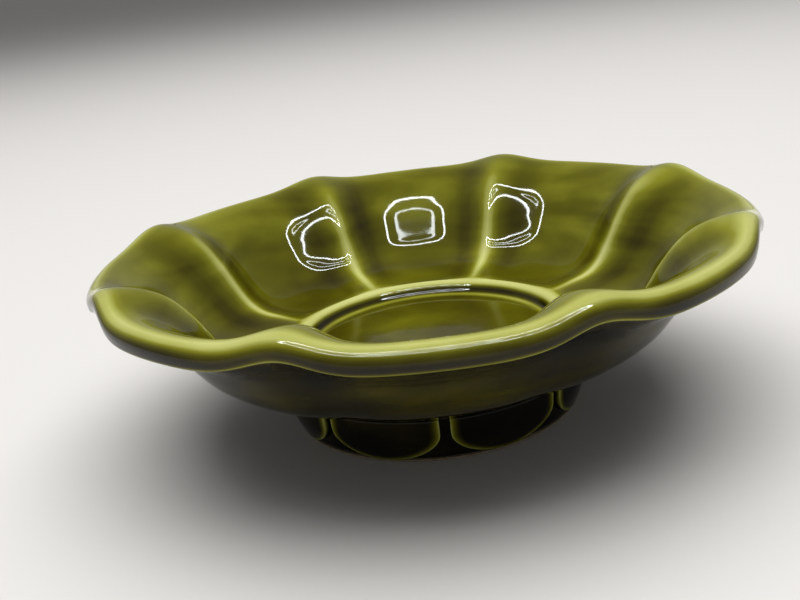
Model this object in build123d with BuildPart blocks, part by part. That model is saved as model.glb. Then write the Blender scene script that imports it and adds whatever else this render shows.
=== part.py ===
from build123d import *

import os
from math import cos, exp, hypot, radians, sin

# Scalloped earthenware flower bowl on a low foot, with a round well in its floor.
#
# Millimetres, +Z up, the origin on the resting plane at the centre of the foot. The bowl has eight
# lobes. Between neighbouring lobes a rib runs up the inside from the well's ring to the lip, and the
# lip rises a little where it crosses a rib. The middle of the first lobe is on the +X axis.

# ---- driving dimensions --------------------------------------------------------------------------
lobes = 8

lip_radius = 108.2  # widest radius, at the middle of a lobe
lip_height = 60.2  # top of the lip above the resting plane, at the middle of a lobe
lip_roll = 5.2  # from the top of the lip out to its widest radius
lip_bead = 6.8  # from the top of the lip down to its sharp lower edge
lip_overhang = 3.0  # how far the lower edge stands out from the wall under it
lip_width = 8.2  # from the widest radius in to the seam with the wall
rib_rise = 3.7  # how much higher the lip is over a rib
rib_inset = 1.5  # how much further in the lip is over a rib

wall = 4.8  # thickness of the wall in a lobe
groove_depth = 2.9  # of the outside groove behind a rib, under the lip
rib_spread = 5.4  # degrees from a rib's crest down to its flank
rib_skirt = 0.35  # share of a rib's height that its long skirts carry
swell_spread = 6.8  # degrees over which the lip swells up and the outside groove widens

well_radius = 39.7  # flat floor of the well
well_depth = 4.0  # crest of the well's ring above that floor
ring_width = 9.8  # from the flat floor out to the seam with the wall
ring_slope = 5.5  # from the flat floor out to the crest
ring_rise = 13.4  # crest above the top of the foot
ring_fall = 1.3  # from the crest down to the seam in a lobe
rib_foot = 1.0  # how far a rib's lower end stands above the lobe at the seam
floor_thickness = 7.0

foot_height = 15.4
foot_wall = 5.6
foot_inset = 0.9  # from the ring's seam in to the top of the foot
foot_flare = 1.4  # how much wider the foot is at its top than at its base
rim_height = 0.8  # bare clay edge that the bowl stands on
rim_chamfer = 0.4

petal_proud = 1.9  # how far a petal stands out from the foot
petal_toe = 0.5  # least that its lower end stands out
toe_bite = 0.24  # how much deeper its rounding may be than its lower end
petal_gap = 2.2  # groove between neighbouring petals
petal_lift = 0.2  # lower end of a petal above the bare edge
petal_sweep = 9.4  # height of the half ellipse that ends a petal
petal_round = 0.7  # rounding of a petal's outer edge
belly_ledge = 0.5  # how far the belly starts outside the petals

# Shape of the inside of the wall, as shares of the way out and of the way up from the ring's seam to
# the top of the lip. In a lobe it is a flat floor that turns up into a steep side. A rib leaves the
# floor sooner, climbs straight and then bends over to the lip.
lobe_shape = [(0.085, -0.015), (0.235, 0.005), (0.39, 0.07), (0.5, 0.20)]
lobe_shape += [(0.595, 0.39), (0.695, 0.605), (0.795, 0.80), (0.895, 0.935)]
rib_shape = [(0.13, 0.035), (0.27, 0.085), (0.36, 0.185), (0.44, 0.355)]
rib_shape += [(0.525, 0.565), (0.635, 0.775), (0.74, 0.895), (0.875, 0.975)]

# Places of the loft's sections beside a rib, as shares of the way to the middle of the lobe.
section_places = [0, 0.07, 0.16, 0.27, 0.42, 0.6, 0.8, 1]
section_spare = 0.2  # one more section past each end, which keeps the lobes smooth where they join

# ---- values that follow --------------------------------------------------------------------------
half_pitch = 180 / lobes
seam_radius = well_radius + ring_width
seam_overlap = ring_width / 3  # how far the loft runs past the seam before it is cut
ring_height = foot_height + ring_rise
floor_level = ring_height - well_depth
seam_level = ring_height - ring_fall
lip_seam_radius = lip_radius - lip_width
foot_top_radius = seam_radius - foot_inset
foot_base_radius = foot_top_radius - foot_flare
belly_radius = foot_top_radius + petal_proud + belly_ledge
petal_bottom = rim_height + petal_lift
toe_proud = max(petal_toe, petal_round - toe_bite)  # a rounder petal needs a thicker lower end
petal_half_width = foot_top_radius * sin(radians(half_pitch)) - petal_gap / 2

os.makedirs("parts", exist_ok=True)


def write(builder, label):
    """Labels a finished piece and writes it to its own file."""
    builder.part.label = label
    export_step(builder.part, f"parts/{label}.step")
    print(f"{label}: {len(builder.part.solids())} solid(s), {builder.part.volume / 1000:.1f} cm3")


# ---- sections of the wall ------------------------------------------------------------------------
def shaped(start, end, shape):
    """Points at the given shares of the way from start to end."""
    return [(start[0] + (end[0] - start[0]) * out, start[1] + (end[1] - start[1]) * up) for out, up in shape]


def lip_section(top):
    """The rolled lip in a section, from its top round to its lower edge and the step under it."""
    radius, height = top
    edge = (radius + lip_roll * 0.96, height - lip_bead)
    step = (edge[0] - lip_overhang, edge[1] - lip_overhang / 2)
    roll = [(radius + lip_roll * 0.64, height - lip_bead * 0.14), (radius + lip_roll, height - lip_bead / 2)]
    return roll + [edge], step


def moved_square(points, distances):
    """Inner points of a line, each moved square to the line, outwards and down, by its own distance."""
    moved = []
    for before, point, after, distance in zip(points, points[1:], points[2:], distances):
        run = after[0] - before[0]
        rise = after[1] - before[1]
        length = hypot(run, rise)
        moved.append((point[0] + rise / length * distance, point[1] - run / length * distance))
    return moved


lobe_start = (seam_radius - seam_overlap, seam_level)
lobe_top = (lip_radius - lip_roll, lip_height)
lobe_floor = [lobe_start] + shaped((seam_radius, seam_level), lobe_top, lobe_shape) + [lobe_top]
lobe_roll, lobe_step = lip_section(lobe_top)

rib_start = (lobe_start[0], seam_level + rib_foot)
rib_top = (lobe_top[0] - rib_inset, lip_height + rib_rise)
rib_crest = [rib_start] + shaped((seam_radius, seam_level + rib_foot), rib_top, rib_shape) + [rib_top]
rib_roll, rib_step = lip_section(rib_top)

# The outside follows the inside of a lobe at the wall's thickness, then runs straight to the foot.
belly_start = (belly_radius, foot_height)
wall_points = moved_square(lobe_floor[2:8], [wall] * 4)
lobe_belly = [lobe_step] + wall_points[::-1] + [belly_start]
groove_shares = [1, 0.9, 0.5, 0.3]  # the groove behind a rib fades out towards the foot
grooved = moved_square(lobe_belly, [groove_depth * share for share in groove_shares])
rib_belly = [rib_step] + grooved + [belly_start]


def crest_share(place):
    """How much of a rib the inside has, from 1 on its crest down to 0 in the middle of a lobe."""
    blunt = rib_spread / half_pitch / 4
    skirt = max(1 + blunt - hypot(place, blunt), 0) ** 2
    return rib_skirt * skirt + (1 - rib_skirt) * exp(-((place * half_pitch / rib_spread) ** 2))


def swell_share(place):
    """How much of a rib the lip and the outside have."""
    return exp(-((place * half_pitch / swell_spread) ** 2))


def blended(lobe_points, rib_points, shares):
    """Points between the lobe's and the rib's, each at its own share."""
    return [
        (lobe[0] + (rib[0] - lobe[0]) * share, lobe[1] + (rib[1] - lobe[1]) * share)
        for lobe, rib, share in zip(lobe_points, rib_points, shares)
    ]


def section_lines(place):
    """Inside line and outside line of the wall at a place beside a rib."""
    crest = crest_share(place)
    swell = swell_share(place)
    turn = [crest] * 6 + [(2 * crest + swell) / 3, (crest + 2 * swell) / 3]
    lobe_line = lobe_floor + lobe_roll
    rib_line = rib_crest + rib_roll
    inside = blended(lobe_line, rib_line, turn + [swell] * (len(lobe_line) - len(turn)))
    outside = blended([lobe_roll[-1]] + lobe_belly, [rib_roll[-1]] + rib_belly, [swell] * (len(lobe_belly) + 1))
    return inside, outside


def half_plane(azimuth):
    """Upright plane through the Z axis whose own X axis points out at the given azimuth."""
    out = Vector(cos(radians(azimuth)), sin(radians(azimuth)), 0)
    return Plane(origin=(0, 0, 0), x_dir=out, z_dir=out.cross(Vector(0, 0, 1)))


# One lobe pitch, from the middle of a lobe over a rib on the X axis to the middle of the next lobe.
one_side = section_places + [1 + section_spare]
with BuildPart() as pitch_piece:
    for place in [-share for share in reversed(one_side[1:])] + one_side:
        folded = min(abs(place), 2 - abs(place))
        inside, outside = section_lines(folded)
        with BuildSketch(half_plane(place * half_pitch)):
            with BuildLine():
                Spline(*inside)
                Spline(*outside)
                Polyline(outside[-1], (inside[0][0], outside[-1][1]), inside[0])
            make_face()
    loft()
    for side in (-1, 1):
        lobe_middle = Vector(sin(radians(half_pitch)), side * cos(radians(half_pitch)), 0)
        split(bisect_by=Plane(origin=(0, 0, 0), z_dir=lobe_middle), keep=Keep.TOP)

# ---- the wall and its lip ------------------------------------------------------------------------
tall = 4 * lip_height  # centred on the resting plane, so the cutters reach past the bowl
with BuildPart() as bowl_wall:
    with PolarLocations(0, lobes, start_angle=half_pitch):
        add(pitch_piece.part)
    Cylinder(lip_seam_radius, tall, mode=Mode.INTERSECT)
    Cylinder(seam_radius, tall, mode=Mode.SUBTRACT)
write(bowl_wall, "bowl_wall")

with BuildPart() as rolled_lip:
    with PolarLocations(0, lobes, start_angle=half_pitch):
        add(pitch_piece.part)
    Cylinder(lip_seam_radius, tall, mode=Mode.SUBTRACT)
write(rolled_lip, "rolled_lip")

# ---- the well: a raised ring in the floor, and the disc that closes it ----------------------------
with BuildPart() as well_ring:
    with BuildSketch(Plane.XZ):
        with BuildLine():
            well_edge = (well_radius, floor_level)
            crest = (well_radius + ring_slope, ring_height)
            seam = (seam_radius, seam_level)
            Spline(well_edge, crest, tangents=[(1, 0), (1, 0)])
            Spline(crest, seam, tangents=[(1, 0), (2, -1)])
            Polyline(seam, (seam_radius, foot_height), (well_radius, foot_height), well_edge)
        make_face()
    revolve(axis=Axis.Z)
write(well_ring, "well_ring")

with BuildPart() as well_floor:
    with Locations((0, 0, floor_level)):
        Cylinder(well_radius, floor_thickness, align=(Align.CENTER, Align.CENTER, Align.MAX))
write(well_floor, "well_floor")

# ---- the foot ------------------------------------------------------------------------------------
with BuildPart() as foot_ring:
    with BuildSketch(Plane.XZ):
        with BuildLine():
            Polyline(
                (foot_base_radius, rim_height),
                (foot_top_radius, foot_height),
                (foot_top_radius - foot_wall, foot_height),
                (foot_base_radius - foot_wall, rim_height),
                close=True,
            )
        make_face()
    revolve(axis=Axis.Z)
write(foot_ring, "foot_ring")

with BuildPart() as foot_rim:
    with BuildSketch(Plane.XZ):
        with Locations((foot_base_radius - foot_wall, 0)):
            Rectangle(foot_wall, rim_height, align=(Align.MIN, Align.MIN))
        chamfer(vertices().group_by(Axis.Y)[0], rim_chamfer)
    revolve(axis=Axis.Z)
write(foot_rim, "foot_rim")


def foot_side(height):
    """Radius of the foot between its petals at a height."""
    return foot_base_radius + foot_flare * (height - rim_height) / (foot_height - rim_height)


# A petal is a bulging band around the foot, cut to a U that hangs from the belly.
with BuildPart() as petal:
    with BuildSketch(Plane.XZ):
        with BuildLine():
            middle = (petal_bottom + foot_height) / 2
            toe = (foot_side(petal_bottom) + toe_proud, petal_bottom)
            top = (foot_top_radius + petal_proud, foot_height)
            ThreePointArc(toe, (foot_side(middle) + petal_proud, middle), top)
            Polyline(top, (foot_top_radius, foot_height), (foot_side(petal_bottom), petal_bottom), toe)
        make_face()
    revolve(axis=Axis.Z)
    with BuildSketch(Plane.YZ):
        with BuildLine():
            shoulder = petal_bottom + petal_sweep
            EllipticalCenterArc((0, shoulder), petal_half_width, petal_sweep, start_angle=180, arc_size=180)
            Polyline(
                (petal_half_width, shoulder),
                (petal_half_width, foot_height),
                (-petal_half_width, foot_height),
                (-petal_half_width, shoulder),
            )
        make_face()
    extrude(amount=2 * belly_radius, mode=Mode.INTERSECT)
    outer_face = petal.faces().sort_by(Axis.X)[-1]
    fillet(outer_face.edges().sort_by(Axis.Z)[:-1], petal_round)

with BuildPart() as foot_petals:
    with PolarLocations(0, lobes, start_angle=half_pitch):
        add(petal.part)
write(foot_petals, "foot_petals")
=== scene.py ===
# %% [markdown]
# # A scalloped flower bowl in olive glaze
# This lesson dresses a packed ceramic bowl: eight lobes, eight inside ribs, a rolled lip, a round well
# for a flower frog, and a low foot with eight petals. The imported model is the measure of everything.
# We load it first, and each mesh that we make takes its place and its size from it.

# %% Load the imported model
from math import atan2, cos, exp, hypot, pi, radians, sin

import bmesh
import bpy
from mathutils import Matrix, Vector, noise
from mathutils.geometry import interpolate_bezier


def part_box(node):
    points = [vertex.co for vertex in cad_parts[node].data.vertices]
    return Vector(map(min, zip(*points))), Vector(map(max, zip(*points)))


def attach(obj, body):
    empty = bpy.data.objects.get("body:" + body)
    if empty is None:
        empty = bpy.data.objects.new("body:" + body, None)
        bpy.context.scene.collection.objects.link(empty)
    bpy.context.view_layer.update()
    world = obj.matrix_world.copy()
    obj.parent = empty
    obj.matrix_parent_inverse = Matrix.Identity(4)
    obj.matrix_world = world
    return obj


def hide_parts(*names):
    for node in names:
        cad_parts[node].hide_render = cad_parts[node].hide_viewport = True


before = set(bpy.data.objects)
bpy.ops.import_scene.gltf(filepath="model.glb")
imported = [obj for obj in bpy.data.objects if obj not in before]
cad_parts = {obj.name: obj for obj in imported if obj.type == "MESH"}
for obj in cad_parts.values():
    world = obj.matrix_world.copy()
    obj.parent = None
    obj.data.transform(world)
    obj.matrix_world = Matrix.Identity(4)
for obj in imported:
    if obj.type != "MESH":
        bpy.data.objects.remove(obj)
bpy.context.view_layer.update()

# %% [markdown]
# ## Sizes
# A bowl like this is cast in one mould, so its sizes hang together. Most of them can be read from the
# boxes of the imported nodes. The few that a box doesn't show, such as how far the lip rolls over, are
# named here once, in metres.

# %% Sizes from the model
LOBES = 8
HALF_PITCH = pi / LOBES  # from a rib to the middle of the lobe beside it

lip_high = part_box("rolled_lip")[1]
ring_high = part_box("well_ring")[1]
floor_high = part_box("well_floor")[1]
foot_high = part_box("foot_ring")[1]
rim_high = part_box("foot_rim")[1]
petal_low, petal_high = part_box("foot_petals")

SEAM_RADIUS = ring_high.x
RING_HEIGHT = ring_high.z
WELL_RADIUS = floor_high.x
FLOOR_LEVEL = floor_high.z
FOOT_TOP = foot_high.z
FOOT_TOP_RADIUS = foot_high.x
FOOT_BASE_RADIUS = rim_high.x
RIM_HEIGHT = rim_high.z
print("seam radius", round(SEAM_RADIUS * 1000, 1), "well radius", round(WELL_RADIUS * 1000, 1))

# %% Sizes that the boxes don't show
MM = 0.001
LIP_ROLL = 5.2 * MM
LIP_BEAD = 6.8 * MM
LIP_OVERHANG = 3.0 * MM
LIP_SPARE = 0.3 * MM  # how far the curve of the lip bulges past its widest point
RIB_RISE = 3.7 * MM
RIB_INSET = 1.5 * MM
RIB_FOOT = 1.0 * MM
RING_FALL = 1.3 * MM
RING_SLOPE = 5.5 * MM
WALL = 4.8 * MM
GROOVE_DEPTH = 2.9 * MM
BELLY_LEDGE = 0.5 * MM
FOOT_WALL = 5.6 * MM
SWELL_SPREAD = radians(6.8)

# %% [markdown]
# ## The two sections of the wall
# A lathe shape has one section all the way round. This wall has two: one through the middle of a lobe
# and one along the crest of a rib. We draw both with the same number of points, so that later any
# place between them is a blend of the two.

# %% Inside lines, as shares of the way from the ring to the lip
lobe_shape = [(0.085, -0.015), (0.235, 0.005), (0.39, 0.07), (0.5, 0.20)]
lobe_shape += [(0.595, 0.39), (0.695, 0.605), (0.795, 0.80), (0.895, 0.935)]
rib_shape = [(0.13, 0.035), (0.27, 0.085), (0.36, 0.185), (0.44, 0.355)]
rib_shape += [(0.525, 0.565), (0.635, 0.775), (0.74, 0.895), (0.875, 0.975)]


def shaped(start, end, shape):
    """Points at the given shares of the way from start to end."""
    return [(start[0] + (end[0] - start[0]) * out, start[1] + (end[1] - start[1]) * up) for out, up in shape]


lobe_top = (lip_high.x - LIP_SPARE - LIP_ROLL, lip_high.z - RIB_RISE)
rib_top = (lobe_top[0] - RIB_INSET, lip_high.z)
lobe_start = (SEAM_RADIUS, RING_HEIGHT - RING_FALL)
rib_start = (SEAM_RADIUS, RING_HEIGHT - RING_FALL + RIB_FOOT)
lobe_inside = [lobe_start] + shaped(lobe_start, lobe_top, lobe_shape) + [lobe_top]
rib_inside = [rib_start] + shaped(rib_start, rib_top, rib_shape) + [rib_top]


# %% The rolled lip, and the outside under it
def lip_section(top):
    """The roll of the lip, its sharp lower edge, and the step under it."""
    radius, height = top
    roll = [(radius + LIP_ROLL * 0.64, height - LIP_BEAD * 0.14), (radius + LIP_ROLL, height - LIP_BEAD / 2)]
    edge = (radius + LIP_ROLL * 0.96, height - LIP_BEAD)
    step = (edge[0] - LIP_OVERHANG, edge[1] - LIP_OVERHANG / 2)
    return roll, edge, step


def moved_square(points, distances):
    """Inner points of a line, each moved square to the line, outwards and down."""
    moved = []
    for before, point, after, distance in zip(points, points[1:], points[2:], distances):
        run, rise = after[0] - before[0], after[1] - before[1]
        length = hypot(run, rise)
        moved.append((point[0] + rise / length * distance, point[1] - run / length * distance))
    return moved


lobe_roll, lobe_edge, lobe_step = lip_section(lobe_top)
rib_roll, rib_edge, rib_step = lip_section(rib_top)
belly_start = (petal_high.x + BELLY_LEDGE, FOOT_TOP)
lobe_belly = [lobe_step] + moved_square(lobe_inside[2:8], [WALL] * 4)[::-1] + [belly_start]
groove_shares = [1, 0.9, 0.5, 0.3]
rib_belly = [rib_step] + moved_square(lobe_belly, [GROOVE_DEPTH * s for s in groove_shares]) + [belly_start]

# %% [markdown]
# ## One smooth line from the middle of the well to the underside
# The glaze runs over the whole bowl without a break, so the bowl is one mesh, and its line starts at the
# centre of the well, goes over the ring, up the wall, round the lip and back down the belly. A Bezier
# span between each two points keeps it smooth, and it has a true corner only at the lip's lower edge.


# %% A smooth line through points
def smooth_line(points, cuts):
    """Points on a smooth line through the given ones, with a number of cuts in each span."""
    knots = [Vector(point) for point in points]
    knots = [2 * knots[0] - knots[1]] + knots + [2 * knots[-1] - knots[-2]]
    line = [knots[1].copy()]
    for before, start, end, after in zip(knots, knots[1:], knots[2:], knots[3:]):
        reach = (end - start).length / 3
        first = start + (end - before).normalized() * reach
        second = end - (after - start).normalized() * reach
        line += interpolate_bezier(start, first, second, end, cuts + 2)[1:]
    return line


# %% The whole line, in a lobe and at a rib
WELL_CORNER = 1.4 * MM  # the soft corner between the well's floor and its wall
BED_DEPTH = 2.4 * MM  # how far the underside of the well is set up inside the foot


def well_line(rise):
    """From the centre of the well to the seam with the wall, where a rib makes it rise."""
    return [
        (0, FLOOR_LEVEL),
        (WELL_RADIUS * 0.6, FLOOR_LEVEL),
        (WELL_RADIUS - 2 * WELL_CORNER, FLOOR_LEVEL),
        (WELL_RADIUS, FLOOR_LEVEL + 0.1 * MM),
        (WELL_RADIUS + WELL_CORNER, FLOOR_LEVEL + 1.1 * MM),
        (WELL_RADIUS + 1.9 * WELL_CORNER, FLOOR_LEVEL + 2.9 * MM),
        (WELL_RADIUS + RING_SLOPE - 1.4 * MM, RING_HEIGHT - 0.2 * MM),
        (WELL_RADIUS + RING_SLOPE, RING_HEIGHT),
        (SEAM_RADIUS - 2.2 * MM, RING_HEIGHT - 0.6 * MM + rise / 2),
    ]


foot_inside = FOOT_TOP_RADIUS - FOOT_WALL
bed = [
    (foot_inside, FOOT_TOP),
    (foot_inside - 0.8 * BED_DEPTH, FOOT_TOP + 0.4 * BED_DEPTH),
    (foot_inside - 1.6 * BED_DEPTH, FOOT_TOP + 0.9 * BED_DEPTH),
    (foot_inside - 2.6 * BED_DEPTH, FOOT_TOP + BED_DEPTH),
    (foot_inside / 2, FOOT_TOP + BED_DEPTH),
    (0, FOOT_TOP + BED_DEPTH),
]
upper_lobe = well_line(0) + lobe_inside + lobe_roll + [lobe_edge]
upper_rib = well_line(RIB_FOOT) + rib_inside + rib_roll + [rib_edge]
lower_lobe = [lobe_edge] + lobe_belly
lower_rib = [rib_edge] + rib_belly

CUTS = 3  # cuts in each span of the line


def whole_line(upper, lower):
    """The upper line, the belly and the underside as one list of points."""
    return smooth_line(upper, CUTS) + smooth_line(lower, CUTS)[1:] + smooth_line(bed, 1)


lobe_line = whole_line(upper_lobe, lower_lobe)
rib_line = whole_line(upper_rib, lower_rib)
rows = len(lobe_line)
lip_row = (len(upper_lobe) - 1) * (CUTS + 1)  # the lower edge of the lip
print("rows in the line:", rows, "lip edge at row", lip_row)

# %% [markdown]
# ## Spin the line, then press the ribs in
# A spin makes the round bowl. Each vertex remembers which row of the line it came from, so a second pass
# can move it to its place between the lobe's line and the rib's line. The columns are drawn together
# near the ribs, where the shape turns fastest.

# %% How much of a rib there is beside its crest
FLANK = radians(11.5)
FLANK_EASE = 0.3
CREST_BLUNT = radians(1.6)
FLAT_SPREAD = radians(12.5)
FLAT_DEPTH = 0.5 * MM


def bell(angle, reach):
    """1 at no angle, falling softly to 0 past the reach."""
    return exp(-((angle / reach) ** 2))


def angle_from_rib(place):
    """Angle around the bowl from the nearest rib to a place."""
    return (atan2(place.y, place.x) % (2 * HALF_PITCH)) - HALF_PITCH


def crest_share(angle):
    """On the inside: a narrow crest between straight flanks that ease into the lobes."""
    slope = 1 + (CREST_BLUNT - hypot(angle, CREST_BLUNT)) / FLANK
    return (slope + hypot(slope, FLANK_EASE)) / (1 + hypot(1, FLANK_EASE))


def swell_share(angle):
    """On the lip and the outside: one soft wave."""
    return bell(angle, SWELL_SPREAD)


def between(value, start, end):
    """0 up to the start, 1 from the end on, and straight between them."""
    return min(max((value - start) / (end - start), 0), 1)


SPAN = CUTS + 1  # rows in a span of the line
TURN_START = lip_row - 6 * SPAN  # where the crest begins to give way to the swell
STEEP_ROWS = (38, 48, 62, 72)  # where the steep side begins, is full, begins to fade, and ends


def turn_at(row):
    """0 on the inside, where the crest rules, and 1 from the lip on, where the swell does."""
    return between(row, TURN_START, TURN_START + 3 * SPAN)


def steep_share(row):
    """1 on the steep side of the wall's inside, fading to 0 at the floor and at the lip."""
    begins, full, fades, ends = STEEP_ROWS
    return between(row, begins, full) * (1 - between(row, fades, ends))


def flattening(angle):
    """How far the wall moves out beside the middle of a lobe, which leaves the middle flatter."""
    place = angle / FLAT_SPREAD
    return FLAT_DEPTH * place**2 * exp(-(place**4) / 2)


# %% Spin
COLUMNS = 22 * LOBES
GATHER = 0.5  # how much the columns gather at the ribs

bowl = bmesh.new()
row_layer = bowl.verts.layers.int.new("row")
ends = []
for row, point in enumerate(lobe_line):
    vertex = bowl.verts.new((point.x, 0, point.y))
    vertex[row_layer] = row
    ends.append(vertex)
for first, second in zip(ends, ends[1:]):
    bowl.edges.new((first, second))
bmesh.ops.spin(
    bowl, geom=bowl.verts[:] + bowl.edges[:], cent=(0, 0, 0), axis=(0, 0, 1),
    angle=2 * pi, steps=COLUMNS, use_merge=True,
)
print("spun bowl:", len(bowl.verts), "vertices")

# %% Press the ribs
for vertex in bowl.verts:
    row = vertex[row_layer]
    azimuth = atan2(vertex.co.y, vertex.co.x)
    from_rib = angle_from_rib(vertex.co)
    gathered = from_rib - GATHER * sin(LOBES * from_rib) / LOBES
    azimuth += gathered - from_rib
    turn = turn_at(row)
    share = (1 - turn) * crest_share(gathered) + turn * swell_share(gathered)
    radius, height = lobe_line[row].lerp(rib_line[row], share)
    radius += steep_share(row) * flattening(HALF_PITCH - abs(gathered))
    vertex.co = (radius * cos(azimuth), radius * sin(azimuth), height)
bmesh.ops.remove_doubles(bowl, verts=bowl.verts, dist=0.01 * MM)
bmesh.ops.recalc_face_normals(bowl, faces=bowl.faces)
print("pressed bowl:", len(bowl.verts), "vertices,", len(bowl.faces), "faces")

# %% [markdown]
# ## Where the glaze is thin, where it pools, and where shade is painted
# A flowing glaze leaves crests and sharp edges, and gathers in corners and above a lip's lower edge. So
# its depth is written along the same line as the shape, once for a lobe and once for a rib, as rows and
# depths from 0, bare clay, to 1, nearly black. The same tables paint shade as deep glaze in the well's
# low corner, in a band above the lip's lower edge, and over the belly. The depth, with this painted shade,
# is stored on the vertices for the glaze to read.

# %% Depth of the glaze and of painted shade along the line
# painted shade: the dark band from row 13.6 to 18.6 darkens the corner and low wall of the well
well_depths_and_shade = [(0, 0.69), (9, 0.67), (11, 0.44), (12.5, 0.28)]
well_depths_and_shade += [(13.6, 0.5), (15, 0.84), (17, 0.9), (18.6, 0.6), (20, 0.26), (22, 0.1)]
lobe_depths_and_shade = well_depths_and_shade + [(28, 0.06), (31, 0.16), (34, 0.42), (38, 0.66), (46, 0.60)]
lobe_depths_and_shade += [(54, 0.53), (61, 0.44), (68, 0.42), (71, 0.36)]
lobe_depths_and_shade += [(72.5, 0.22), (74, 0.1), (76, 0.17), (77.5, 0.38), (79, 0.62)]
# rows 80.5 to 83.4: glaze gathered above the lip's lower edge, deepened into a band of painted shade
lobe_depths_and_shade += [(80.5, 0.76), (82.6, 0.97), (83.4, 0.66), (84, 0.3), (84.7, 0.66), (86, 0.9)]
# painted shade: from row 86 to the foot at row 108 the belly is kept nearly black
lobe_depths_and_shade += [(90, 0.84), (96, 0.82), (104, 0.84), (107, 0.9), (108, 0.94), (110, 0.6)]
rib_depths_and_shade = well_depths_and_shade + [(28, 0.08), (31, 0.14), (35, 0.24), (38, 0.2), (42, 0.08)]
rib_depths_and_shade += [(48, 0.06), (56, 0.1), (62, 0.22), (66, 0.34), (70, 0.38), (73, 0.18), (76, 0.15)]
# rows 80.5 to 83.4: gathered glaze above the lip's lower edge, deepened into painted shade, as in a lobe
rib_depths_and_shade += [(78, 0.36), (80.5, 0.7), (82.6, 0.94), (83.4, 0.62), (84, 0.28), (84.7, 0.66), (86, 0.92)]
# painted shade: from row 86 to the foot at row 108 the belly under a rib is kept nearly black
rib_depths_and_shade += [(92, 0.94), (100, 0.9), (107, 0.9), (108, 0.95), (110, 0.6)]


def depth_at(depths, row):
    """Depth between two stops of a table."""
    for (first, start), (second, end) in zip(depths, depths[1:]):
        if row <= second:
            return start + (end - start) * (row - first) / (second - first)
    return depths[-1][1]


# %% Depth of the glaze and of painted shade around the bowl
CREST_LINE = radians(2.0)  # reach of the pale line on a rib's crest
CREST_HALO = radians(6)  # reach of the fainter pale band around that line
LINE_SHARE = 0.75
POOL_AND_SHADE_PLACE = radians(7.5)  # glaze gathers, and shade is painted, in the crease along both sides of a rib
POOL_AND_SHADE_REACH = radians(3.2)
POOL_AND_SHADE_DEPTH = 0.2


def glaze_and_shade_depth(row, angle):
    """Depth of the glaze, with its painted shade, at a row, at an angle from the nearest rib."""
    crest = LINE_SHARE * bell(angle, CREST_LINE) + (1 - LINE_SHARE) * bell(angle, CREST_HALO)
    turn = turn_at(row)
    share = (1 - turn) * crest + turn * swell_share(angle)
    depth = depth_at(lobe_depths_and_shade, row) * (1 - share) + depth_at(rib_depths_and_shade, row) * share
    # darker in the crease beside each rib: partly gathered glaze, partly painted shade
    return depth + POOL_AND_SHADE_DEPTH * steep_share(row) * bell(abs(angle) - POOL_AND_SHADE_PLACE, POOL_AND_SHADE_REACH)


# the "glaze" layer holds the depth of the glaze together with the painted shade
glaze_and_shade_layer = bowl.verts.layers.float.new("glaze")
for vertex in bowl.verts:
    vertex[glaze_and_shade_layer] = glaze_and_shade_depth(vertex[row_layer], angle_from_rib(vertex.co))
depths = [vertex[glaze_and_shade_layer] for vertex in bowl.verts]
print("glaze depths from", round(min(depths), 2), "to", round(max(depths), 2))

# %% [markdown]
# ## A hand-made surface
# A pressed and glazed wall is never quite true, and a glossy glaze shows it in its reflections. So each
# vertex sinks a little by soft noise. It only sinks, because the outside of the part is its real size.

# %% Sink the surface a little
SINK = 0.11 * MM
WAVE = 21 * MM  # width of the soft waves
bowl.normal_update()
for vertex in bowl.verts:
    vertex.co -= vertex.normal * SINK * (1 + noise.noise(vertex.co / WAVE))


# %% A mesh becomes a piece
def finish_piece(mesh, name, levels):
    """Makes an object of a bmesh, with smooth faces and a subdivision."""
    for face in mesh.faces:
        face.smooth = True
    data = bpy.data.meshes.new(name)
    mesh.to_mesh(data)
    mesh.free()
    piece = bpy.data.objects.new(name, data)
    bpy.context.scene.collection.objects.link(piece)
    if levels:
        subdivision = piece.modifiers.new("subdivision", "SUBSURF")
        subdivision.levels = levels
        subdivision.render_levels = levels
    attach(piece, "root")
    print(name, "has", len(data.polygons), "faces before subdivision")
    return piece


glazed_bowl = finish_piece(bowl, "glazed_bowl", 1)
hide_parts("bowl_wall", "rolled_lip", "well_ring", "well_floor")

# %% [markdown]
# ## The foot
# Under the bowl is a low hollow foot. Its band is a plain turned ring with a slight waist, so a spin of
# its section makes it. Its glaze is set nearly black: glaze pooled between the petals, and painted shade
# under the belly.

# %% The band of the foot
def foot_side(height):
    """Radius of the foot between its petals at a height."""
    share = (height - RIM_HEIGHT) / (FOOT_TOP - RIM_HEIGHT)
    return FOOT_BASE_RADIUS + (FOOT_TOP_RADIUS - FOOT_BASE_RADIUS) * share


BAND_WAIST = 0.3 * MM  # how far the band is drawn in at half its height
band_middle = (RIM_HEIGHT + FOOT_TOP) / 2
band = bmesh.new()
outside = [(FOOT_BASE_RADIUS, RIM_HEIGHT)]
outside += [(foot_side(band_middle) - BAND_WAIST, band_middle), (FOOT_TOP_RADIUS, FOOT_TOP)]
inside = [(radius - FOOT_WALL, height) for radius, height in outside[::-1]]
section = smooth_line(outside, 5) + smooth_line(inside, 5)
ends = [band.verts.new((point.x, 0, point.y)) for point in section]
for first, second in zip(ends, ends[1:] + ends[:1]):
    band.edges.new((first, second))
bmesh.ops.spin(
    band, geom=band.verts[:] + band.edges[:], cent=(0, 0, 0), axis=(0, 0, 1),
    angle=2 * pi, steps=96, use_merge=True,
)
bmesh.ops.recalc_face_normals(band, faces=band.faces)
BAND_POOL_AND_SHADE_DEPTH = 0.99  # nearly black: glaze pooled between the petals, and painted shade under the belly
glaze_and_shade_layer = band.verts.layers.float.new("glaze")
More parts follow.
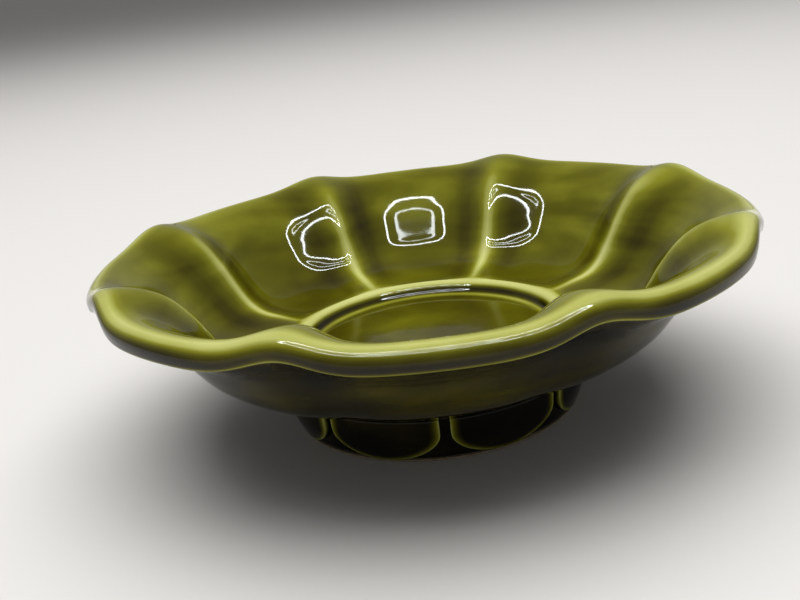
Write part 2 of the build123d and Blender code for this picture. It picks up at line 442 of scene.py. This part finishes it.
for vertex in band.verts:
    vertex[glaze_and_shade_layer] = BAND_POOL_AND_SHADE_DEPTH
foot_band = finish_piece(band, "foot_band", 1)
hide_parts("foot_ring")

# %% [markdown]
# ## The petals
# Around the foot stand eight petals, each a thick tile with a round lower end. A petal could be cut out
# of a solid, but a flat grid that narrows at its lower end is simpler to draw. It is thickened, bent
# round the foot without creases, and bevelled along its outer edge, where the glaze runs thin.

# %% One petal, made flat
PETAL_GAP = 2.2 * MM
PETAL_SWEEP = 9.4 * MM
PETAL_ROUND = 1.1 * MM
PETAL_TOE = 0.5 * MM
PETAL_SWELL = 1.6  # above 1, so that a petal has its full thickness already below its top
PETAL_PROUD = petal_high.x - foot_side((petal_low.z + FOOT_TOP) / 2)
petal_half = FOOT_TOP_RADIUS * sin(HALF_PITCH) - PETAL_GAP / 2
shoulder = petal_low.z + PETAL_SWEEP
END_ANGLE = radians(82)  # the grid stops just short of the petal's lowest point
OUTWARDS = 1  # marks the front of a flat petal until it is bent round the foot


def petal_place(across, down):
    """Place on a flat petal: across from -1 to 1, and down from 0 at the top to 1 at its lower end."""
    straight = (FOOT_TOP - shoulder) / (FOOT_TOP - petal_low.z)
    if down < straight:
        return across * petal_half, FOOT_TOP - down / straight * (FOOT_TOP - shoulder)
    angle = (down - straight) / (1 - straight) * END_ANGLE
    return across * petal_half * cos(angle), shoulder - PETAL_SWEEP * sin(angle)


def make_petals():
    """All the petals as one mesh, each bent round the foot at a rib."""
    petals = bmesh.new()
    for number in range(LOBES):
        petal = bmesh.new()
        bmesh.ops.create_grid(petal, x_segments=32, y_segments=20, size=1)
        for vertex in petal.verts:
            across, height = petal_place(vertex.co.x, (1 - vertex.co.y) / 2)
            vertex.co = (across, 0, height)
        front = petal.faces[:]
        back = bmesh.ops.extrude_face_region(petal, geom=front)
        moved = [item for item in back["geom"] if isinstance(item, bmesh.types.BMVert)]
        bmesh.ops.translate(petal, vec=(0, OUTWARDS, 0), verts=moved)
        for vertex in petal.verts:
            across, outwards, height = vertex.co
            up = min(PETAL_SWELL * (height - petal_low.z) / (FOOT_TOP - petal_low.z), 1)
            swollen = PETAL_TOE + (PETAL_PROUD - PETAL_TOE) * sin(up * pi / 2)
            proud = swollen if outwards == OUTWARDS else 0
            radius = foot_side(height) + proud
            azimuth = across / FOOT_TOP_RADIUS + (2 * number + 1) * HALF_PITCH
            vertex.co = (radius * cos(azimuth), radius * sin(azimuth), height)
        data = bpy.data.meshes.new("petal")
        petal.to_mesh(data)
        petal.free()
        petals.from_mesh(data)
        bpy.data.meshes.remove(data)
    bmesh.ops.recalc_face_normals(petals, faces=petals.faces)
    return petals


THIN_FROM = 0.84  # share of the way to a petal's edge where its glaze begins to thin
THIN_LOSS = 0.84  # how much depth is lost at the very edge
SHADED_SIDE_SHARE = 0.4  # the lower share of a petal's thickness stays nearly black with painted shade


def petal_depth_and_shade(place):
    """Depth of the glaze on a petal, with painted shade: nearly black in its middle and beside it, where the
    belly shades it, and thin along its outer edge.
    """
    across = angle_from_rib(place) * FOOT_TOP_RADIUS / petal_half
    down = max((shoulder - place.z) / PETAL_SWEEP, 0)
    edge = between(hypot(across, down), THIN_FROM, 1)
    proud = (hypot(place.x, place.y) - foot_side(place.z)) / PETAL_TOE
    return 1 - THIN_LOSS * edge * between(proud, SHADED_SIDE_SHARE, 1 + SHADED_SIDE_SHARE)


# %% Eight petals with a round outer edge
SHARP = radians(50)  # an edge that turns more than this is a petal's outline
CLEAR = 0.1 * MM


def is_outline(edge):
    """True on the outer edge of a petal, but not where it touches the foot or the bowl."""
    stands_out = all(hypot(v.co.x, v.co.y) > foot_side(v.co.z) + CLEAR for v in edge.verts)
    under_bowl = any(v.co.z < FOOT_TOP - CLEAR for v in edge.verts)
    return edge.calc_face_angle(0) > SHARP and stands_out and under_bowl


petals = make_petals()
outer = [edge for edge in petals.edges if is_outline(edge)]
print("outline edges of the petals:", len(outer))
bmesh.ops.bevel(
    petals, geom=outer, offset=PETAL_ROUND / 2, offset_type="OFFSET", segments=3, profile=0.5,
    affect="EDGES", material=-1, clamp_overlap=True,
)
bmesh.ops.remove_doubles(petals, verts=petals.verts, dist=0.01 * MM)
glaze_and_shade_layer = petals.verts.layers.float.new("glaze")
for vertex in petals.verts:
    vertex[glaze_and_shade_layer] = petal_depth_and_shade(vertex.co)
foot_petals = finish_piece(petals, "petals", 1)
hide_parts("foot_petals")

# %% [markdown]
# ## Shader sums as plain Python
# Shader maths is easier to read as sums. This small class wraps a socket, and each operator on it adds
# one Math node.

# %% A socket that can be added and multiplied
class Value:
    def __init__(self, tree, socket):
        self.tree = tree
        self.socket = socket

    def math(self, operation, first, second=None):
        node = self.tree.nodes.new("ShaderNodeMath")
        node.operation = operation
        for place, item in enumerate([first, second]):
            if isinstance(item, Value):
                self.tree.links.new(item.socket, node.inputs[place])
            elif item is not None:
                node.inputs[place].default_value = item
        return Value(self.tree, node.outputs[0])

    def __add__(self, other):
        return self.math("ADD", self, other)

    def __radd__(self, other):
        return self.math("ADD", other, self)

    def __sub__(self, other):
        return self.math("SUBTRACT", self, other)

    def __rsub__(self, other):
        return self.math("SUBTRACT", other, self)

    def __mul__(self, other):
        return self.math("MULTIPLY", self, other)

    def __rmul__(self, other):
        return self.math("MULTIPLY", other, self)


# %% A material that grows node by node
class Finish:
    """The nodes of a material or of a world, and one method that adds any node to them."""

    def __init__(self, owner):
        self.owner = owner
        owner.use_nodes = True
        self.tree = owner.node_tree
        self.tree.nodes.clear()

    def node(self, kind, settings=None, inputs=None, output=0):
        node = self.tree.nodes.new("ShaderNode" + kind)
        for key, setting in (settings or {}).items():
            if key == "stops":
                ramp = node.color_ramp
                while len(ramp.elements) > 1:
                    ramp.elements.remove(ramp.elements[-1])
                for number, (position, colour) in enumerate(setting):
                    stop = ramp.elements[0] if number == 0 else ramp.elements.new(position)
                    stop.position = position
                    stop.color = (*colour, 1)
            else:
                setattr(node, key, setting)
        for key, item in (inputs or {}).items():
            if isinstance(item, Value):
                self.tree.links.new(item.socket, node.inputs[key])
            else:
                node.inputs[key].default_value = item
        return Value(self.tree, node.outputs[output])

    def clamp(self, value, low=0.0, high=1.0, to_low=0.0, to_high=1.0):
        """A value moved from one range to another and kept inside it."""
        return self.node("MapRange", {"clamp": True}, {0: value, 1: low, 2: high, 3: to_low, 4: to_high})

    def noise(self, place, scale, detail=2.0, distortion=0.0):
        """Soft noise between 0 and 1 around 0.5."""
        inputs = {"Vector": place, "Scale": scale, "Detail": detail, "Distortion": distortion}
        return self.node("TexNoise", None, inputs)

    def output(self, shader, kind="OutputMaterial"):
        """Ends the nodes with a shader, and gives back the material or the world."""
        end = self.tree.nodes.new("ShaderNode" + kind)
        self.tree.links.new(shader.socket, end.inputs["Surface"])
        return self.owner


def new_finish(name):
    """An empty material."""
    return Finish(bpy.data.materials.new(name))


# %% [markdown]
# ## The olive glaze
# The glaze is green glass over pale clay. Where it is thin the clay shows through as yellow green, and
# where it is deep it looks almost black. So one number, the depth of the glaze with the painted shade added
# to it, makes the colour: a base depth, less on the edges, more in the hollows and in the painted shade,
# and uneven where it was brushed on around the bowl.

# %% From thin glaze to deep, which also colours the painted shade
GLAZE_STOPS = [
    (0.0, (0.68, 0.69, 0.27)),
    (0.15, (0.47, 0.48, 0.12)),
    (0.32, (0.235, 0.235, 0.014)),
    (0.50, (0.118, 0.114, 0.003)),
    (0.68, (0.060, 0.053, 0.001)),
    (0.85, (0.022, 0.0175, 0.0015)),
    (1.0, (0.005, 0.0045, 0.003)),
]


print("glaze stops:", len(GLAZE_STOPS))


# %% Pinholes in the glaze
PIT_CELLS = 65.0  # cells in a metre, and a few of the cells hold a pit
PIT_CHANCE = 0.1
PIT_RIM = 0.34  # depth of glaze missing on a pit's rim
PIT_MIDDLE = 1.6  # how much darker its middle is, in rims


def pinholes(glaze, place):
    """A few tiny pits where a bubble burst: a pale rim with a dark middle."""
    cells = {"Vector": place, "Scale": PIT_CELLS}
    reach = glaze.node("TexVoronoi", None, cells)
    draw = glaze.node("SeparateColor", None, {"Color": glaze.node("TexVoronoi", None, cells, "Color")})
    chosen = glaze.clamp(draw, 1 - PIT_CHANCE, 1.01 - PIT_CHANCE)
    rim = glaze.clamp(reach, 0.035, 0.055, 1.0, 0.0)
    middle = glaze.clamp(reach, 0.012, 0.026, 1.0, 0.0)
    return chosen * (rim - middle * PIT_MIDDLE) * PIT_RIM


# %% The glaze itself
BAND_UNEVEN = 0.68  # how uneven the depth is in bands round the bowl
CLOUD_UNEVEN = 0.24  # how uneven it is in small clouds


def olive_glaze():
    glaze = new_finish("olive_glaze")
    place = glaze.node("TexCoord", output="Object")
    layers = glaze.node("VectorMath", {"operation": "MULTIPLY"}, {0: place, 1: (1, 1, 5)})
    # the depth read here carries the painted shade as well as the glaze
    depth = glaze.node("Attribute", {"attribute_name": "glaze"}, output="Fac")
    bands = glaze.noise(layers, 14.0, 2.5, 0.8)
    clouds = glaze.noise(place, 45.0, 3.0, 0.4)
    uneven = (bands - 0.5) * BAND_UNEVEN + (clouds - 0.5) * CLOUD_UNEVEN
    steady = glaze.clamp(depth, 0.15, 0.45, 0.35, 1.0)
    shown_depth = depth + uneven * steady - pinholes(glaze, place)
    colour = glaze.node("ValToRGB", {"stops": GLAZE_STOPS}, {"Fac": shown_depth})
    ripple = glaze.noise(place, 90.0, 2.0)
    bump = glaze.node("Bump", None, {"Strength": 0.1, "Distance": 0.0005, "Height": ripple})
    shader = glaze.node(
        "BsdfPrincipled", None,
        {"Base Color": colour, "Roughness": 0.045, "IOR": 1.5, "Specular IOR Level": 0.24, "Normal": bump},
    )
    return glaze.output(shader)


glaze = olive_glaze()
for piece in (glazed_bowl, foot_band, foot_petals):
    piece.data.materials.append(glaze)


# %% [markdown]
# ## The bare clay edge
# A potter wipes the glaze off the edge that a bowl stands on, so that it doesn't stick to the kiln shelf.
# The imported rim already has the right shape, so it only needs a finish: rough pale clay with a fine grain.

# %% The bare clay
CLAY_STOPS = [(0.3, (0.30, 0.24, 0.15)), (0.7, (0.46, 0.38, 0.26))]


def bare_clay():
    clay = new_finish("bare_clay")
    place = clay.node("TexCoord", output="Object")
    grain = clay.noise(place, 900.0, 4.0)
    colour = clay.node("ValToRGB", {"stops": CLAY_STOPS}, {"Fac": grain})
    bump = clay.node("Bump", None, {"Strength": 0.4, "Distance": 0.0002, "Height": grain})
    shader = clay.node("BsdfPrincipled", None, {"Base Color": colour, "Roughness": 0.85, "Normal": bump})
    return clay.output(shader)


foot_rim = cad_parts["foot_rim"]
foot_rim.data.materials.clear()
foot_rim.data.materials.append(bare_clay())
print("finishes:", [material.name for material in bpy.data.materials])

# %% [markdown]
# ## Floor and room
# A glossy glaze shows what stands around it, so the light is part of the look. The floor is a plain pale
# sheet, wide enough to be the backdrop too. The room is a soft grey, and light paths let it be a little
# brighter where it is seen, straight or in the glaze, than where it lights.

# %% Floor
FLOOR_DROP = 0.1 * MM  # keeps the floor just under the foot
floor_mesh = bmesh.new()
bmesh.ops.create_grid(floor_mesh, x_segments=4, y_segments=4, size=30.0)
floor_data = bpy.data.meshes.new("floor")
floor_mesh.to_mesh(floor_data)
floor_mesh.free()
floor = bpy.data.objects.new("floor", floor_data)
bpy.context.scene.collection.objects.link(floor)
floor.location.z = -FLOOR_DROP
pale = new_finish("pale_floor")
floor.data.materials.append(
    pale.output(pale.node("BsdfPrincipled", None, {"Base Color": (0.74, 0.72, 0.69, 1), "Roughness": 0.9}))
)

# %% Room
ROOM_LIGHT = (0.16, 0.16, 0.165, 1)
ROOM_SEEN = (0.32, 0.32, 0.31, 1)  # what is seen above the floor, and in the glaze
room = Finish(bpy.data.worlds.new("room"))
seen = room.node("LightPath", output="Is Camera Ray") + room.node("LightPath", output="Is Glossy Ray")
seen = seen + room.node("LightPath", output="Is Transmission Ray")
colour = room.node("Mix", {"data_type": "RGBA"}, {0: seen, 6: ROOM_LIGHT, 7: ROOM_SEEN}, 2)
shell = room.node("Background", None, {"Color": colour})
bpy.context.scene.world = room.output(shell, "OutputWorld")
print("world:", bpy.context.scene.world.name)

# %% [markdown]
# ## Lamps
# One large soft lamp overhead lights the bowl. It is kept out of reflections, because the fine bright
# lines in the lobes come from two stretched ring lamps. Those do the opposite: they glow only in
# reflections and light nothing, so their strength changes the lines and nothing else.

# %% The soft lamp
LAMP_SIZE = 2.2
LAMP_POWER = 42
lamp = bpy.data.lights.new("top_light", "AREA")
lamp.size = LAMP_SIZE
lamp.energy = LAMP_POWER
top_light = bpy.data.objects.new("top_light", lamp)
top_light.location = (0.0, 0.1, 1.6)
to_bowl = Vector((0, 0, 0.03)) - top_light.location
top_light.rotation_euler = to_bowl.to_track_quat("-Z", "Y").to_euler()
top_light.visible_glossy = False
bpy.context.scene.collection.objects.link(top_light)

# %% The ring lamps
RINGS_PLACE = (0, -0.2, 0.55)
GLOW_COLOUR = (0.93, 0.98, 1.0, 1)


def glow(name, strength):
    """A plain cool white light."""
    light = new_finish(name)
    return light.output(light.node("Emission", None, {"Color": GLOW_COLOUR, "Strength": strength}))


def ring_lamp(name, across, along, tube, strength):
    """A glowing ring, stretched sideways, that is seen only in reflections."""
    ring = bmesh.new()
    circle = bmesh.ops.create_circle(ring, segments=10, radius=tube)["verts"]
    bmesh.ops.rotate(ring, cent=(0, 0, 0), matrix=Matrix.Rotation(pi / 2, 3, "X"), verts=circle)
    bmesh.ops.translate(ring, vec=(along, 0, 0), verts=circle)
    bmesh.ops.spin(
        ring, geom=ring.verts[:] + ring.edges[:], cent=(0, 0, 0), axis=(0, 0, 1),
        angle=2 * pi, steps=72, use_merge=True,
    )
    bmesh.ops.scale(ring, vec=(across / along, 1, 1), verts=ring.verts)
    data = bpy.data.meshes.new(name)
    ring.to_mesh(data)
    ring.free()
    data.materials.append(glow(name + "_glow", strength))
    lamp = bpy.data.objects.new(name, data)
    lamp.location = RINGS_PLACE
    lamp.visible_diffuse = False
    lamp.visible_camera = False
    lamp.visible_shadow = False
    bpy.context.scene.collection.objects.link(lamp)


ring_lamp("outer_lamp", 0.3, 0.1, 0.008, 58.0)
ring_lamp("inner_lamp", 0.12, 0.032, 0.004, 38.0)
print("ring lamps at", RINGS_PLACE)

# %% [markdown]
# ## Camera
# The camera stands close, a little above the lip, and is held slightly askew, as a hand-held one is.

# %% Camera
AIM = Vector((-0.00903, 0, 0.03738))
TILT = radians(-7.02)
camera_data = bpy.data.cameras.new("camera")
camera_data.lens = 49.57
camera_data.sensor_width = 36
camera = bpy.data.objects.new("camera", camera_data)
camera.location = (-0.00631, -0.3505, 0.15121)
look = (AIM - camera.location).to_track_quat("-Z", "Y").to_matrix()
camera.rotation_euler = (look @ Matrix.Rotation(TILT, 3, "Z")).to_euler()
bpy.context.scene.collection.objects.link(camera)
bpy.context.scene.camera = camera
bpy.context.scene.view_settings.view_transform = "Standard"
